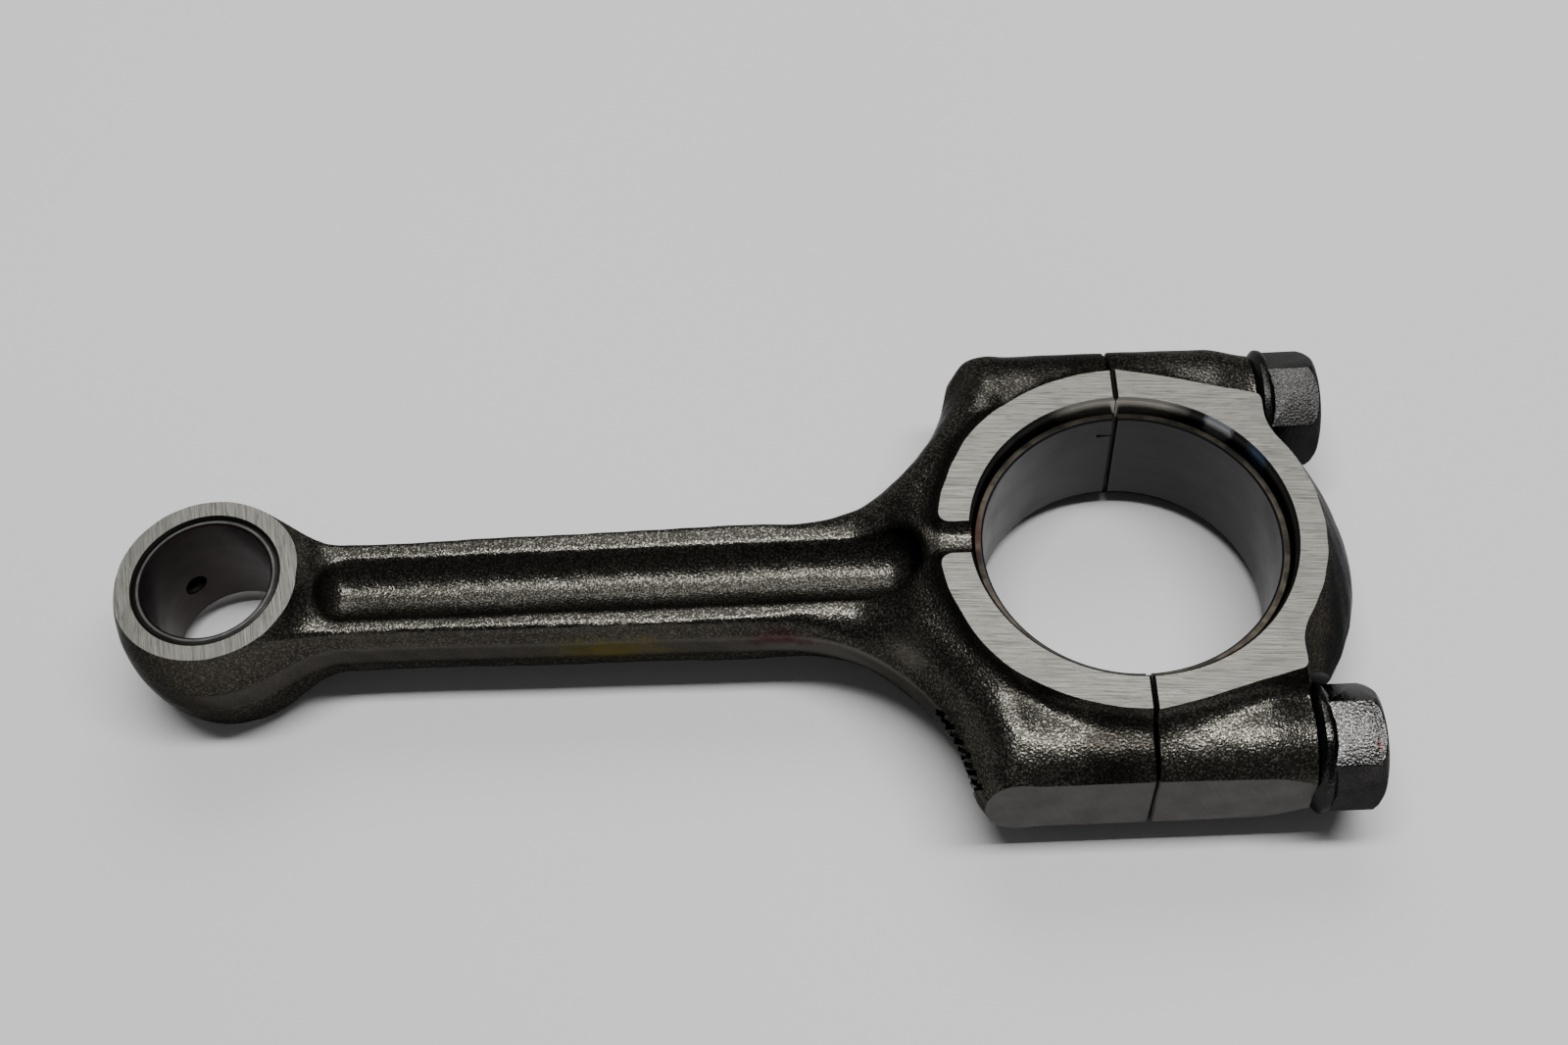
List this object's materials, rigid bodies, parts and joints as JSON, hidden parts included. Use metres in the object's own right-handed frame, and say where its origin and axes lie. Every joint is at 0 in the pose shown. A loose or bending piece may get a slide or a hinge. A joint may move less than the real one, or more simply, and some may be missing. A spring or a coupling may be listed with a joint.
{
  "type": "connecting rod",
  "caption": "Forged I-beam connecting rod with a bolted big-end cap, split bearing shells and a bushed small end.",
  "frame": {"origin": "centre of the crankpin bore, midway between the big end's ground faces", "axes": "+X from the small end towards the cap, +Z along the crankpin and piston-pin bores, +Y completes the right-handed frame"},
  "size_m": [0.1627, 0.068, 0.0228],
  "materials": {
    "forged_steel": "shot-blasted dark forging with ground faces",
    "shell_steel": "oiled steel strip",
    "shell_lining": "smooth dull grey overlay, run in",
    "bush_steel": "oiled steel strip",
    "bush_bronze": "dark oiled bronze",
    "bolt_steel": "blackened, with bright worn flats"
  },
  "bodies": {
    "rod": {"rod_forging": "forged_steel", "rod_shell_back": "shell_steel", "rod_shell_lining": "shell_lining", "small_end_bush_back": "bush_steel", "small_end_bush_lining": "bush_bronze"},
    "cap": {"bearing_cap": "forged_steel", "cap_shell_back": "shell_steel", "cap_shell_lining": "shell_lining"},
    "far_bolt": {"far_cap_bolt": "bolt_steel"},
    "near_bolt": {"near_cap_bolt": "bolt_steel"}
  },
  "joints": [
    {"name": "cap_lift", "type": "slide", "parent": "rod", "child": "cap", "axis": [1, 0, 0], "range_m": [0, 0.014]},
    {"name": "far_bolt_turn", "type": "hinge", "parent": "cap", "child": "far_bolt", "pos_m": [0.0195, 0.0258, 0], "axis": [1, 0, 0], "range_deg": [0, 5040]},
    {"name": "near_bolt_turn", "type": "hinge", "parent": "cap", "child": "near_bolt", "pos_m": [0.0195, -0.0258, 0], "axis": [1, 0, 0], "range_deg": [0, 5040]}
  ],
  "couplings": [
    {"joint": "far_bolt_turn", "follows": "cap_lift", "rad_per_m": 6283.2},
    {"joint": "near_bolt_turn", "follows": "cap_lift", "rad_per_m": 6283.2}
  ]
}
